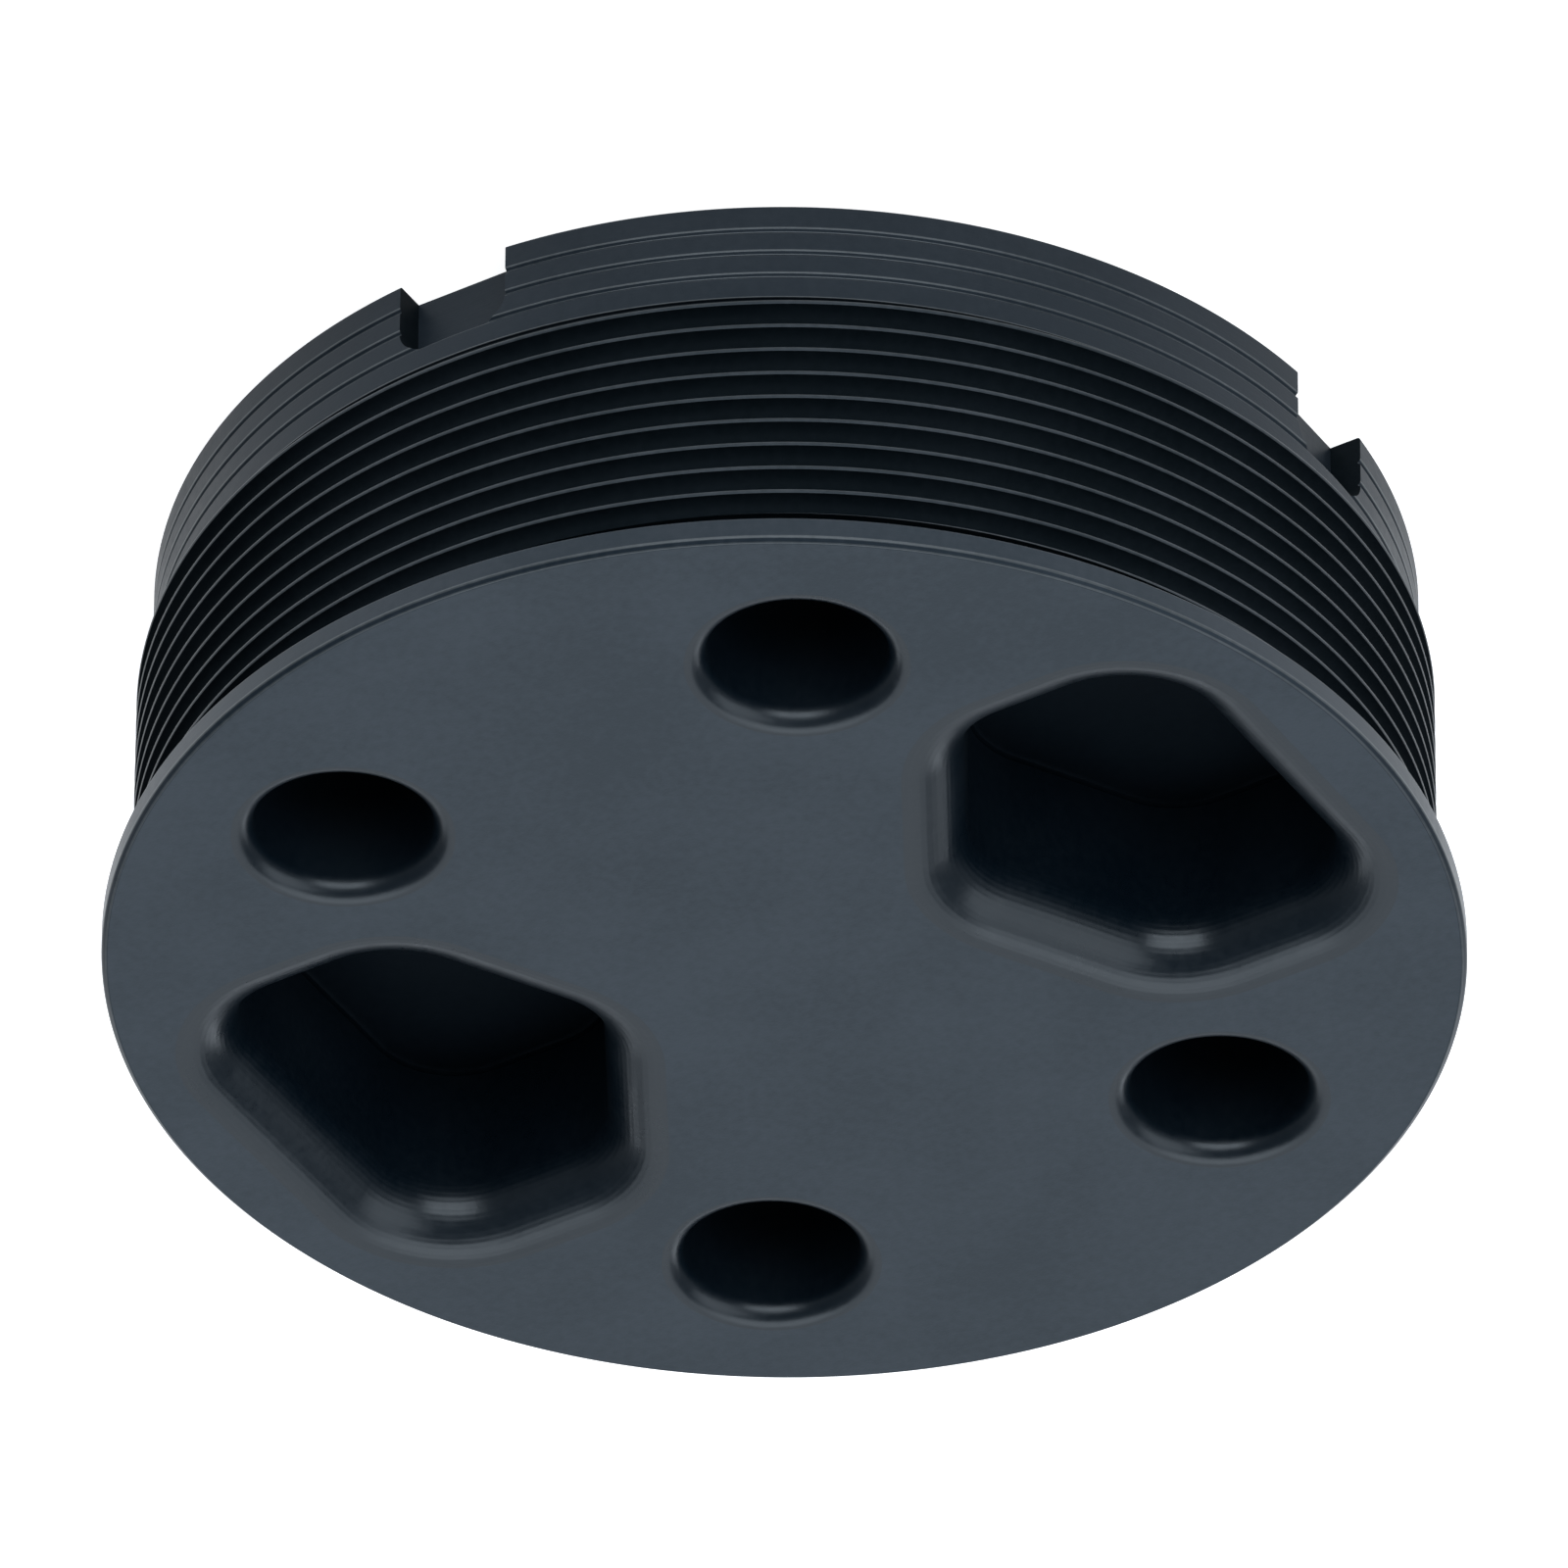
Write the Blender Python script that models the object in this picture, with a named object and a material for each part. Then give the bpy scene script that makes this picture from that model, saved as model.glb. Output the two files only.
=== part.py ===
"""Small ratchet winch with a finely grooved drum, bolted down through its fixed core.

The core (top flange and stem) and the base plate stand still. The grooved drum turns between them on
a ring of rollers and a plain bearing sleeve, and two sprung pawls in the core let it turn one way.
Metres, +Z up, on the axis of the drum, standing on z = 0.
"""

import math

import bmesh
import bpy

MM = 0.001

# Heights above the deck
TOTAL_HEIGHT = 33.8 * MM
BAND_HEIGHT = 8.6 * MM
FLANGE_THICKNESS = 2.3 * MM

# Radii that show outside
FLANGE_RADIUS = 50.0 * MM
BAND_RADIUS = 46.8 * MM
CREST_RADIUS = 47.9 * MM

# Clearances
SEAT_GAP = 0.3 * MM
BASE_TO_DRUM_GAP = 0.4 * MM
FLANGE_TO_DRUM_GAP = 0.3 * MM
BEARING_GAP = 0.2 * MM
ROLLER_GAP = 0.1 * MM

# Drum grooves: one right-hand helix
GROOVE_PITCH = 2.2 * MM
GROOVE_DEPTH = 0.95 * MM
CREST_WIDTH = 0.4 * MM
ROOT_WIDTH = 0.7 * MM
RELIEF_HEIGHT = 1.6 * MM  # plain strip under the flange, where the grooving tool ran out
CREST_START = math.radians(238.4)  # a crest stands CREST_RISE above the drum's lower end here
CREST_RISE = 0.92 * MM

# Base plate
RIM_BEVEL = 0.15 * MM
LINE_DEPTH = 0.25 * MM
LINE_WIDTH = 0.5 * MM
LINE_HEIGHTS = [(2.35 + 2.1 * i) * MM for i in range(3)]
NOTCH_WIDTH = 9.0 * MM
NOTCH_HEIGHT = 6.6 * MM
NOTCH_DEPTH = 2.75 * MM
NOTCH_CORNER = 2.1 * MM
NOTCH_COUNT = 4

# Core
EDGE_CHAMFER = 0.35 * MM
STEM_WALL = 2.63 * MM  # least wall left outside the pockets
NECK_RADIUS = 40.8 * MM
POCKET_DEPTH = 15.0 * MM
POCKET_HALF_WIDTH = 15.15 * MM
POCKET_OUTER = 40.7 * MM  # axis to the outer wall
POCKET_INNER = 13.6 * MM  # axis to each of the two slanted inner walls
POCKET_SLANT = math.radians(60)
POCKET_CORNER = 6.55 * MM
POCKET_MOUTH_RADIUS = 4.6 * MM
FLOOR_WEB = 1.2 * MM  # pocket floor to the shoulder under it

# Deck bolts
BOLT_CIRCLE_RADIUS = 35.6 * MM
BOLT_HALF_SPREAD = math.radians(32.9)  # either side of the Y axis
HEAD_BORE_RADIUS = 6.6 * MM
HEAD_BORE_DEPTH = 15.0 * MM
BOLT_HOLE_RADIUS = 4.25 * MM
BORE_MOUTH_RADIUS = 1.6 * MM

# Bearings
WASHER_THICKNESS = 0.5 * MM
SLEEVE_THICKNESS = 0.5 * MM
SLEEVE_SPLIT = 1.5 * MM
ROLLER_RADIUS = 1.5 * MM
ROLLER_COUNT = 18
CAGE_FLOOR = 0.5 * MM
CAGE_THICKNESS = 1.4 * MM
DRUM_SKIRT = 1.1 * MM  # wall of the drum left outside the lower washer

# Ratchet
TOOTH_COUNT = 36
TOOTH_DEPTH = 1.7 * MM
TOOTH_HEIGHT = 3.0 * MM
TOOTH_TIP_RADIUS = 42.6 * MM
TOOTH_STEEP = 0.03  # shares of the tooth pitch: end of the steep face, of the gullet and of the ramp
TOOTH_GULLET = 0.45
TOOTH_RAMP = 0.92
PAWL_PIVOT_RADIUS = 38.2 * MM
PAWL_PIVOT_ANGLE = math.radians(24)
PAWL_THICKNESS = 2.7 * MM
PAWL_HEEL_RADIUS = 2.3 * MM
PAWL_TIP_ANGLE = math.radians(2.4)
PAWL_TRAVEL = math.radians(8)
PAWL_PIN_RADIUS = 1.2 * MM
PAWL_WIDTH = 2.9 * MM  # at the tip
PAWL_GAP = 0.4 * MM
PAWL_NOSE = 0.36  # shares of the tooth pitch along the pawl: end of its nose, and of the slope behind it
PAWL_SLOPE = 0.84
PAWL_BACK = 1.4
PAWL_BACK_RELIEF = 0.3 * MM
PAWL_HEEL_START = 0.3  # radians past the pivot where the round heel begins
SLOT_HEEL_START = 0.6
SLOT_EDGE = 0.04
SLOT_TIP = -0.4  # end of the slot's inner wall, in pawl tip angles
SPRING_THICKNESS = 0.3 * MM
SPRING_HEIGHT = 2.0 * MM
SPRING_BOW = 1.2 * MM
SPRING_ROOM = 0.9 * MM  # left behind the pawl when it is pushed right in
SPRING_START = 0.3  # shares of the slot's inner wall
SPRING_SPAN = 0.65

# Screws that hold the base plate to the core
SCREW_CIRCLE_RADIUS = 22.0 * MM
SCREW_COUNT = 4
SCREW_RADIUS = 2.2 * MM
SCREW_HEAD_RADIUS = 4.6 * MM
SCREW_LENGTH = 14.0 * MM
SCREW_SOCKET_RADIUS = 1.75 * MM
SCREW_SOCKET_DEPTH = 1.6 * MM
SCREW_SUNK = 0.2 * MM
SCREW_HEAD_RIM = 0.15 * MM
SCREW_EDGE = 0.3 * MM

# Smoothness
AROUND = 60
AROUND_INSIDE = 48
AROUND_BORE = 24
AROUND_SMALL = 12
CORNER_STEPS = 5
MOUTH_STEPS = 4
BORE_MOUTH_STEPS = 3
SPRING_STEPS = 10
OVERSHOOT = 1.0 * MM  # how far a cutter runs past the face that it cuts
TOOTH_OVERLAP = 0.1 * MM  # the tooth cutter runs into the bores above and below it
MERGE = 0.002 * MM  # points closer than this are one point

# Worked out
FACE_Z = TOTAL_HEIGHT
FLANGE_UNDER = FACE_Z - FLANGE_THICKNESS
STEM_BOTTOM = BAND_HEIGHT + SEAT_GAP
DRUM_BOTTOM = BAND_HEIGHT + BASE_TO_DRUM_GAP
DRUM_TOP = FLANGE_UNDER - FLANGE_TO_DRUM_GAP
ROOT_RADIUS = CREST_RADIUS - GROOVE_DEPTH
POCKET_FLOOR = FACE_Z - POCKET_DEPTH
SHOULDER_Z = POCKET_FLOOR - FLOOR_WEB
POCKET_REACH = POCKET_CORNER + math.hypot(POCKET_OUTER - POCKET_CORNER, POCKET_HALF_WIDTH - POCKET_CORNER)
STEM_RADIUS = POCKET_REACH + STEM_WALL
BORE_RADIUS = STEM_RADIUS + 2 * BEARING_GAP + SLEEVE_THICKNESS
RACE_RADIUS = NECK_RADIUS + 2 * (ROLLER_RADIUS + ROLLER_GAP)
ROLLER_CIRCLE_RADIUS = (RACE_RADIUS + NECK_RADIUS) / 2
UPPER_WASHER_Z = SHOULDER_Z - SEAT_GAP - WASHER_THICKNESS
TOOTH_TOP = UPPER_WASHER_Z - SEAT_GAP
TOOTH_BOTTOM = TOOTH_TOP - TOOTH_HEIGHT
TOOTH_ROOT_RADIUS = TOOTH_TIP_RADIUS + TOOTH_DEPTH
PAWL_TIP_RADIUS = TOOTH_ROOT_RADIUS - PAWL_GAP
PAWL_Z = (TOOTH_TOP + TOOTH_BOTTOM - PAWL_THICKNESS) / 2
LOWER_WASHER_Z = BAND_HEIGHT + SEAT_GAP
CAGE_Z = LOWER_WASHER_Z + WASHER_THICKNESS + SEAT_GAP
CAGE_TOP = TOOTH_BOTTOM - SEAT_GAP
ROLLER_Z = CAGE_Z + CAGE_FLOOR + 2 * ROLLER_GAP
ROLLER_LENGTH = CAGE_TOP - ROLLER_GAP - ROLLER_Z
WASHER_RECESS_RADIUS = ROOT_RADIUS - DRUM_SKIRT


def clear_scene():
    for old in list(bpy.data.objects):
        bpy.data.objects.remove(old, do_unlink=True)


def material(name, colour, roughness, metallic):
    made = bpy.data.materials.new(name)
    made.use_nodes = True
    shader = made.node_tree.nodes["Principled BSDF"]
    shader.inputs["Base Color"].default_value = (*colour, 1)
    shader.inputs["Roughness"].default_value = roughness
    shader.inputs["Metallic"].default_value = metallic
    return made


def polar(radius, angle):
    return (radius * math.cos(angle), radius * math.sin(angle))


def add_object(name, bm, surface=None):
    bmesh.ops.recalc_face_normals(bm, faces=bm.faces)
    mesh = bpy.data.meshes.new(name)
    bm.to_mesh(mesh)
    bm.free()
    made = bpy.data.objects.new(name, mesh)
    bpy.context.scene.collection.objects.link(made)
    if surface:
        mesh.materials.append(surface)
    return made


def lofted(name, loops, surface=None, capped=True):
    """A closed solid through loops of (x, y, z) with equal point counts: capped, or joined end to end."""
    bm = bmesh.new()
    rows = [[bm.verts.new(point) for point in loop] for loop in loops]
    if capped:
        bm.faces.new(rows[0])
        bm.faces.new(rows[-1])
    for low, high in zip(rows, rows[1:] if capped else rows[1:] + rows[:1]):
        for i in range(len(low)):
            j = (i + 1) % len(low)
            bm.faces.new((low[i], low[j], high[j], high[i]))
    return add_object(name, bm, surface)


def prism(name, outline, low, high, surface=None):
    bm = bmesh.new()
    base = bm.faces.new([bm.verts.new((x, y, low)) for x, y in outline])
    raised = bmesh.ops.extrude_face_region(bm, geom=[base])["geom"]
    corners = [item for item in raised if isinstance(item, bmesh.types.BMVert)]
    bmesh.ops.translate(bm, verts=corners, vec=(0, 0, high - low))
    return add_object(name, bm, surface)


def revolved(name, profile, around=AROUND, surface=None, centre=(0, 0)):
    """A solid of revolution about an upright axis, from a (radius, z) profile: a ring if it stays off the axis."""
    angles = [math.tau * i / around for i in range(around)]
    loops = [
        [(centre[0] + radius * math.cos(angle), centre[1] + radius * math.sin(angle), z) for angle in angles]
        for radius, z in profile
        if radius
    ]
    return lofted(name, loops, surface, capped=len(loops) < len(profile))


def cylinder(name, radius, low, high, centre=(0, 0), around=AROUND_BORE, surface=None):
    profile = [(0, low), (radius, low), (radius, high), (0, high)]
    return revolved(name, profile, around, surface, centre)


def combine(target, other, operation="DIFFERENCE"):
    """Cuts other out of target, or joins it on, and removes other."""
    step = target.modifiers.new("combine", "BOOLEAN")
    step.operation = operation
    step.solver = "EXACT"
    step.object = other
    bpy.context.view_layer.update()
    evaluated = target.evaluated_get(bpy.context.evaluated_depsgraph_get())
    mesh = bpy.data.meshes.new_from_object(evaluated)
    target.modifiers.clear()
    target.data = mesh
    bpy.data.objects.remove(other, do_unlink=True)


def empty(name, location=(0, 0, 0)):
    made = bpy.data.objects.new(name, None)
    made.location = location
    bpy.context.scene.collection.objects.link(made)
    return made


def set_on_axis(target, x, y, parent=None):
    """Moves the object's origin to (x, y) without moving its mesh, so that it turns there."""
    for vertex in target.data.vertices:
        vertex.co.x -= x
        vertex.co.y -= y
    target.location = (x, y, 0)
    if parent:
        target.parent = parent


def arc(centre, radius, start, end, steps):
    """Points on an arc from start to end, both included."""
    return [
        (
            centre[0] + radius * math.cos(start + (end - start) * i / steps),
            centre[1] + radius * math.sin(start + (end - start) * i / steps),
        )
        for i in range(steps + 1)
    ]


def bolt_places():
    quarter = math.pi / 2
    angles = [side * quarter + spread for side in (1, 3) for spread in (-BOLT_HALF_SPREAD, BOLT_HALF_SPREAD)]
    return [polar(BOLT_CIRCLE_RADIUS, angle) for angle in angles]


def screw_places():
    return [polar(SCREW_CIRCLE_RADIUS, math.tau * i / SCREW_COUNT) for i in range(SCREW_COUNT)]


def pocket_outline(grown, turn):
    """The pocket's five-sided outline, offset outwards by grown, on +X and turned by turn."""
    radius = POCKET_CORNER
    side_y = POCKET_HALF_WIDTH - radius
    outer_x = POCKET_OUTER - radius
    reach = POCKET_INNER + radius
    inner_x = (reach + side_y * math.cos(POCKET_SLANT)) / math.sin(POCKET_SLANT)
    tip_x = reach / math.sin(POCKET_SLANT)
    slant = math.pi / 2 + (math.pi / 2 - POCKET_SLANT) * 2
    corners = [
        ((outer_x, -side_y), -math.pi / 2, 0),
        ((outer_x, side_y), 0, math.pi / 2),
        ((inner_x, side_y), math.pi / 2, slant),
        ((tip_x, 0), slant, math.tau - slant),
        ((inner_x, -side_y), -slant, -math.pi / 2),
    ]
    points = [p for centre, start, end in corners for p in arc(centre, radius + grown, start, end, CORNER_STEPS)]
    c, s = math.cos(turn), math.sin(turn)
    return [(c * x - s * y, s * x + c * y) for x, y in points]


def mouth_levels(radius, count):
    """(z, how far the wall stands back) up a rounded mouth that ends flush with the face."""
    steps = [math.pi / 2 * i / count for i in range(count + 1)]
    levels = [(FACE_Z - radius + radius * math.sin(a), radius - radius * math.cos(a)) for a in steps]
    return levels + [(FACE_Z + OVERSHOOT, radius)]


def pocket_cutter(turn):
    levels = [(POCKET_FLOOR, 0)] + mouth_levels(POCKET_MOUTH_RADIUS, MOUTH_STEPS)
    loops = [[(x, y, z) for x, y in pocket_outline(grown, turn)] for z, grown in levels]
    return lofted("pocket_cutter", loops)


def bolt_bore_cutter(centre):
    floor = FACE_Z - HEAD_BORE_DEPTH
    profile = [(0, -OVERSHOOT), (BOLT_HOLE_RADIUS, -OVERSHOOT), (BOLT_HOLE_RADIUS, floor), (HEAD_BORE_RADIUS, floor)]
    mouth = mouth_levels(BORE_MOUTH_RADIUS, BORE_MOUTH_STEPS)
    profile += [(HEAD_BORE_RADIUS + grown, z) for z, grown in mouth]
    profile.append((0, FACE_Z + OVERSHOOT))
    return revolved("bore_cutter", profile, AROUND_BORE, centre=centre)


def make_core(surface):
    profile = [
        (0, STEM_BOTTOM),
        (NECK_RADIUS, STEM_BOTTOM),
        (NECK_RADIUS, SHOULDER_Z),
        (STEM_RADIUS, SHOULDER_Z),
        (STEM_RADIUS, FLANGE_UNDER),
        (FLANGE_RADIUS - EDGE_CHAMFER, FLANGE_UNDER),
        (FLANGE_RADIUS, FLANGE_UNDER + EDGE_CHAMFER),
        (FLANGE_RADIUS, FACE_Z - EDGE_CHAMFER),
        (FLANGE_RADIUS - EDGE_CHAMFER, FACE_Z),
        (0, FACE_Z),
    ]
    core = revolved("core", profile, surface=surface)
    for turn in (0, math.pi):
        combine(core, pocket_cutter(turn))
        combine(core, pawl_slot_cutter(turn))
        pin_top = SHOULDER_Z + SEAT_GAP
        hole = PAWL_PIN_RADIUS + SEAT_GAP
        low = STEM_BOTTOM - OVERSHOOT
        combine(core, cylinder("pin_hole", hole, low, pin_top, pawl_pivot(turn), AROUND_SMALL))
    for place in bolt_places():
        combine(core, bolt_bore_cutter(place))
    for place in screw_places():
        top = SCREW_SUNK + SCREW_LENGTH + SEAT_GAP
        combine(core, cylinder("tapped", SCREW_RADIUS + SEAT_GAP, 0, top, place, AROUND_SMALL))
    return core


def notch_cutter(turn):
    """Open at the rim and outwards, with a flat back and rounded upper corners."""
    half = NOTCH_WIDTH / 2
    side = half - NOTCH_CORNER
    top = NOTCH_HEIGHT - NOTCH_CORNER
    outline = [(-half, -OVERSHOOT), (half, -OVERSHOOT)]
    outline += arc((side, top), NOTCH_CORNER, 0, math.pi / 2, CORNER_STEPS)
    outline += arc((-side, top), NOTCH_CORNER, math.pi / 2, math.pi, CORNER_STEPS)
    back = BAND_RADIUS - NOTCH_DEPTH
    c, s = math.cos(turn), math.sin(turn)
    loops = [
        [(c * x - s * y, s * x + c * y, z) for y, z in outline] for x in (back, BAND_RADIUS + OVERSHOOT)
    ]
    return lofted("notch_cutter", loops)


def make_base_plate(surface):
    profile = [(0, 0), (BAND_RADIUS - RIM_BEVEL, 0), (BAND_RADIUS, RIM_BEVEL)]
    for z in LINE_HEIGHTS:
        profile += [
            (BAND_RADIUS, z - LINE_WIDTH / 2),
            (BAND_RADIUS - LINE_DEPTH, z),
            (BAND_RADIUS, z + LINE_WIDTH / 2),
        ]
    profile += [(BAND_RADIUS, BAND_HEIGHT), (0, BAND_HEIGHT)]
    plate = revolved("base_plate", profile, surface=surface)
    for i in range(NOTCH_COUNT):
        combine(plate, notch_cutter(math.tau * i / NOTCH_COUNT))
    for place in bolt_places():
        low, high = -OVERSHOOT, BAND_HEIGHT + OVERSHOOT
        combine(plate, cylinder("bolt_hole", BOLT_HOLE_RADIUS, low, high, place))
    for place in screw_places():
        combine(plate, screw_hole_cutter(place))
    return plate


def screw_hole_cutter(centre):
    head = SCREW_HEAD_RADIUS + SEAT_GAP
    shank = SCREW_RADIUS + SEAT_GAP
    profile = [
        (0, -OVERSHOOT),
        (head, -OVERSHOOT),
        (head, SCREW_SUNK),
        (shank, SCREW_SUNK + head - shank),
        (shank, BAND_HEIGHT + OVERSHOOT),
        (0, BAND_HEIGHT + OVERSHOOT),
    ]
    return revolved("screw_hole", profile, AROUND_SMALL, centre=centre)


def make_base_screw(number, centre, surface):
    """Countersunk screw, put in from below."""
    profile = [
        (0, SCREW_SUNK),
        (SCREW_HEAD_RADIUS, SCREW_SUNK),
        (SCREW_HEAD_RADIUS, SCREW_SUNK + SCREW_HEAD_RIM),
        (SCREW_RADIUS, SCREW_SUNK + SCREW_EDGE + SCREW_HEAD_RADIUS - SCREW_RADIUS),
        (SCREW_RADIUS, SCREW_SUNK + SCREW_LENGTH - SCREW_EDGE),
        (SCREW_RADIUS - SCREW_EDGE, SCREW_SUNK + SCREW_LENGTH),
        (0, SCREW_SUNK + SCREW_LENGTH),
    ]
    screw = revolved(f"base_screw_{number}", profile, AROUND_SMALL, surface, centre)
    low, high = SCREW_SUNK - OVERSHOOT, SCREW_SUNK + SCREW_SOCKET_DEPTH
    combine(screw, cylinder("socket", SCREW_SOCKET_RADIUS, low, high, centre, 6))
    return screw


def groove_radius(turns):
    """Radius of the grooved surface at a height, in turns above the middle of a crest."""
    away = abs(turns - round(turns)) * GROOVE_PITCH
    crest_edge = CREST_WIDTH / 2
    root_edge = (GROOVE_PITCH - ROOT_WIDTH) / 2
    share = (away - crest_edge) / (root_edge - crest_edge)
    return CREST_RADIUS - GROOVE_DEPTH * min(1, max(0, share))


def grooved_plug():
    """A solid cylinder with the helical groove round it. Its rows follow the helix and stop at both ends."""
    low, high = DRUM_BOTTOM, DRUM_TOP - RELIEF_HEIGHT
    breaks = [CREST_WIDTH / 2, (GROOVE_PITCH - ROOT_WIDTH) / 2, (GROOVE_PITCH + ROOT_WIDTH) / 2]
    breaks.append(GROOVE_PITCH - CREST_WIDTH / 2)
    count = math.ceil((high - low) / GROOVE_PITCH) + 2
    starts = [turn * GROOVE_PITCH + along for turn in range(-1, count) for along in breaks]
    bm = bmesh.new()
    columns = []
    for i in range(AROUND + 1):
        share = i / AROUND
        angle = CREST_START + math.tau * share
        crest = low + CREST_RISE + GROOVE_PITCH * (share - 1)
        column = []
        for start in starts:
            z = min(high, max(low, crest + start))
            x, y = polar(groove_radius((z - crest) / GROOVE_PITCH), angle)
            column.append(bm.verts.new((x, y, z)))
        ends = [bm.verts.new((*polar(ROOT_RADIUS, angle), z)) for z in (high, DRUM_TOP)]
        columns.append([bm.verts.new((0, 0, low)), *column, *ends, bm.verts.new((0, 0, DRUM_TOP))])
    for first, second in zip(columns, columns[1:]):
        for a, b, c, d in zip(first, second, second[1:], first[1:]):
            bm.faces.new((a, b, c, d))
    bmesh.ops.remove_doubles(bm, verts=bm.verts, dist=MERGE)
    bmesh.ops.dissolve_degenerate(bm, edges=bm.edges, dist=MERGE)
    return bm


def tooth_outline():
    """The hollow inside the ratchet ring: steep faces look anticlockwise, ramps rise clockwise."""
    pitch = math.tau / TOOTH_COUNT
    tip, root = TOOTH_TIP_RADIUS, TOOTH_ROOT_RADIUS
    shape = [(0, tip), (TOOTH_STEEP, root), (TOOTH_GULLET, root), (TOOTH_RAMP, tip)]
    return [polar(radius, pitch * (i + along)) for i in range(TOOTH_COUNT) for along, radius in shape]


def make_drum(surface):
    drum = add_object("drum", grooved_plug(), surface)
    below, above = DRUM_BOTTOM - OVERSHOOT, DRUM_TOP + OVERSHOOT
    cuts = [
        cylinder("recess", WASHER_RECESS_RADIUS, below, CAGE_Z, around=AROUND),
        cylinder("race", RACE_RADIUS, below, TOOTH_BOTTOM, around=AROUND),
        prism("teeth", tooth_outline(), TOOTH_BOTTOM - TOOTH_OVERLAP, TOOTH_TOP + TOOTH_OVERLAP),
        cylinder("bore", BORE_RADIUS, TOOTH_TOP, above, around=AROUND),
    ]
    for cutter in cuts:
        combine(drum, cutter)
    return drum


def ring(name, inner, outer, low, high, surface):
    return revolved(name, [(inner, low), (outer, low), (outer, high), (inner, high)], AROUND_INSIDE, surface)


def make_sleeve(surface):
    inner = STEM_RADIUS + BEARING_GAP
    outer = inner + SLEEVE_THICKNESS
    half = SLEEVE_SPLIT / 2 / inner
    outside = arc((0, 0), outer, half, math.tau - half, AROUND_INSIDE)
    inside = arc((0, 0), inner, math.tau - half, half, AROUND_INSIDE)
    low, high = SHOULDER_Z + SEAT_GAP, FLANGE_UNDER - SEAT_GAP
    return prism("bearing_sleeve", outside + inside, low, high, surface)


def make_cage(surface):
    inner = ROLLER_CIRCLE_RADIUS - CAGE_THICKNESS / 2
    cage = ring("roller_cage", inner, inner + CAGE_THICKNESS, CAGE_Z, CAGE_TOP, surface)
    for i in range(ROLLER_COUNT):
        place = polar(ROLLER_CIRCLE_RADIUS, math.tau * (i + 0.5) / ROLLER_COUNT)
        radius = ROLLER_RADIUS + ROLLER_GAP
        low, high = CAGE_Z + CAGE_FLOOR, CAGE_TOP + OVERSHOOT
        combine(cage, cylinder("roller_seat", radius, low, high, place, AROUND_SMALL))
    return cage


def make_roller(number, surface):
    place = polar(ROLLER_CIRCLE_RADIUS, math.tau * (number - 0.5) / ROLLER_COUNT)
    edge = 0.2 * MM
    low, high = ROLLER_Z, ROLLER_Z + ROLLER_LENGTH
    profile = [
        (0, low),
        (ROLLER_RADIUS - edge, low),
        (ROLLER_RADIUS, low + edge),
        (ROLLER_RADIUS, high - edge),
        (ROLLER_RADIUS - edge, high),
        (0, high),
    ]
    return revolved(f"roller_{number:02d}", profile, AROUND_SMALL, surface, place)


def turned(points, turn):
    c, s = math.cos(turn), math.sin(turn)
    return [(c * x - s * y, s * x + c * y) for x, y in points]


def pawl_pivot(turn=0.0):
    return polar(PAWL_PIVOT_RADIUS, PAWL_PIVOT_ANGLE + turn)


def pawl_outline():
    """Seen from above, at +X: tip towards -Y of its pivot, pushed out into the teeth."""
    pitch = math.tau / TOOTH_COUNT
    outer = [
        polar(PAWL_TIP_RADIUS, PAWL_TIP_ANGLE),
        polar(PAWL_TIP_RADIUS, PAWL_NOSE * pitch),
        polar(TOOTH_TIP_RADIUS - PAWL_GAP, PAWL_SLOPE * pitch),
        polar(TOOTH_TIP_RADIUS - PAWL_GAP - PAWL_BACK_RELIEF, PAWL_BACK * pitch),
    ]
    start, end = PAWL_PIVOT_ANGLE + PAWL_HEEL_START, PAWL_PIVOT_ANGLE + math.pi
    heel = arc(pawl_pivot(), PAWL_HEEL_RADIUS, start, end, 2 * CORNER_STEPS)
    return outer + heel + [polar(PAWL_TIP_RADIUS - PAWL_WIDTH, PAWL_TIP_ANGLE)]


def slot_wall():
    """The two ends of the slot's inner wall: beside the heel, and behind the tip when it is pushed right in."""
    x, y = pawl_pivot()
    room = PAWL_HEEL_RADIUS + SEAT_GAP
    heel = (x - room * math.cos(PAWL_PIVOT_ANGLE), y - room * math.sin(PAWL_PIVOT_ANGLE))
    arm = math.dist(pawl_pivot(), polar(PAWL_TIP_RADIUS, PAWL_TIP_ANGLE))
    swing = PAWL_TRAVEL * arm
    return heel, polar(PAWL_TIP_RADIUS - PAWL_WIDTH - swing - SPRING_ROOM, SLOT_TIP * PAWL_TIP_ANGLE)


def pawl_slot_cutter(turn):
    """Room for the pawl and its swing, open outwards through the neck."""
    start, end = PAWL_PIVOT_ANGLE + SLOT_HEEL_START, PAWL_PIVOT_ANGLE + math.pi
    outside = NECK_RADIUS + OVERSHOOT
    outline = [
        polar(outside, -PAWL_TIP_ANGLE),
        polar(outside, PAWL_PIVOT_ANGLE / 2),
        polar(outside, PAWL_PIVOT_ANGLE + SLOT_EDGE),
        *arc(pawl_pivot(), PAWL_HEEL_RADIUS + SEAT_GAP, start, end, 2 * CORNER_STEPS),
        slot_wall()[1],
    ]
    low, high = PAWL_Z - SEAT_GAP, PAWL_Z + PAWL_THICKNESS + SEAT_GAP
    return prism("pawl_slot", turned(outline, turn), low, high)


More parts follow.
